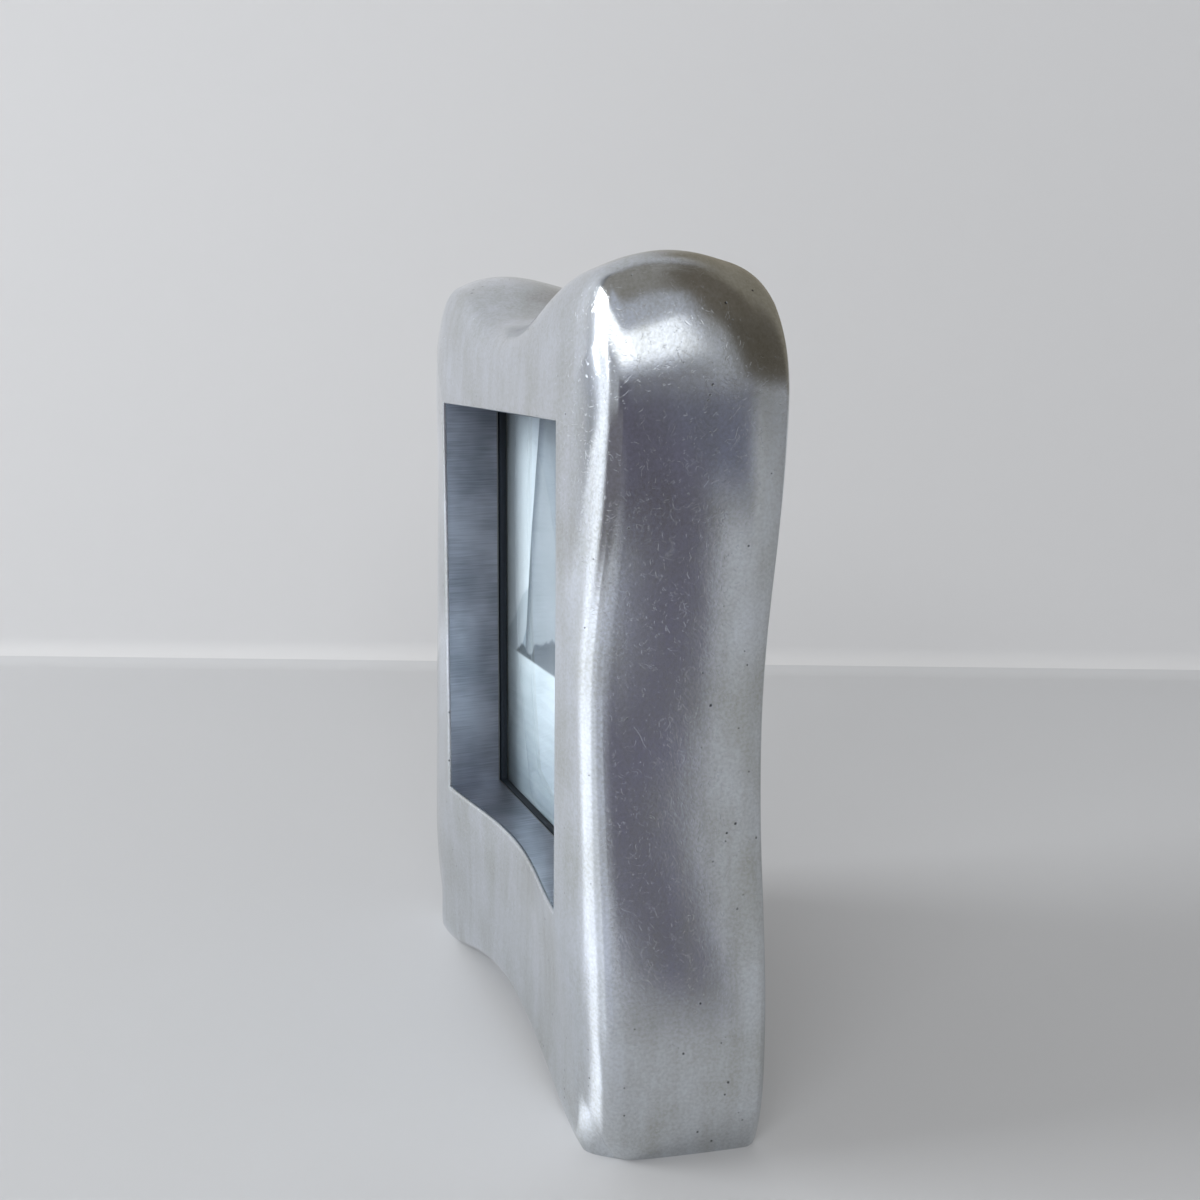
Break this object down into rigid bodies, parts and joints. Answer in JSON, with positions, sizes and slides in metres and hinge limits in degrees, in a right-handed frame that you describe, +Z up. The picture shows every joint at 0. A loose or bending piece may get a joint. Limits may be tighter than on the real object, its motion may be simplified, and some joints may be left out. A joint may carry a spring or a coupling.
{
  "type": "cast aluminium photo frame",
  "caption": "Self-standing picture frame cast as one thick rounded piece, with a glazed picture pack held from the back by turn buttons.",
  "frame": {"origin": "on the surface that the frame stands on, midway between the feet and midway through the depth", "axes": "+Z up, -Y out of the picture towards the viewer, +X to the viewer's right"},
  "size_m": [0.1234, 0.0326, 0.1638],
  "materials": {
    "casting": "hand-polished sand casting with fine pores and scratches",
    "gasket": "matt black foam band",
    "glass": "clear picture glass",
    "print": "satin photo paper, cool monochrome picture",
    "board": "brown hardboard with a mesh-marked back",
    "turn_buttons": "nickel-plated stamped steel",
    "screws": "bright zinc plate"
  },
  "bodies": {
    "frame": {"cast_frame": "casting", "glazing_gasket": "gasket", "glass_pane": "glass", "photo_print": "print", "backing_board": "board", "button_screw_1": "screws", "button_screw_2": "screws", "button_screw_3": "screws", "button_screw_4": "screws"},
    "turn_button_1": {"turn_button_1": "turn_buttons"},
    "turn_button_2": {"turn_button_2": "turn_buttons"},
    "turn_button_3": {"turn_button_3": "turn_buttons"},
    "turn_button_4": {"turn_button_4": "turn_buttons"}
  },
  "joints": [
    {"name": "button_1_turn", "type": "hinge", "parent": "frame", "child": "turn_button_1", "pos_m": [0.0444, 0.00605, 0.1188], "axis": [0, 1, 0], "range_deg": [-100, 100]},
    {"name": "button_2_turn", "type": "hinge", "parent": "frame", "child": "turn_button_2", "pos_m": [0.0444, 0.00605, 0.0588], "axis": [0, 1, 0], "range_deg": [-100, 100]},
    {"name": "button_3_turn", "type": "hinge", "parent": "frame", "child": "turn_button_3", "pos_m": [-0.0444, 0.00605, 0.1188], "axis": [0, 1, 0], "range_deg": [-100, 100]},
    {"name": "button_4_turn", "type": "hinge", "parent": "frame", "child": "turn_button_4", "pos_m": [-0.0444, 0.00605, 0.0588], "axis": [0, 1, 0], "range_deg": [-100, 100]}
  ]
}
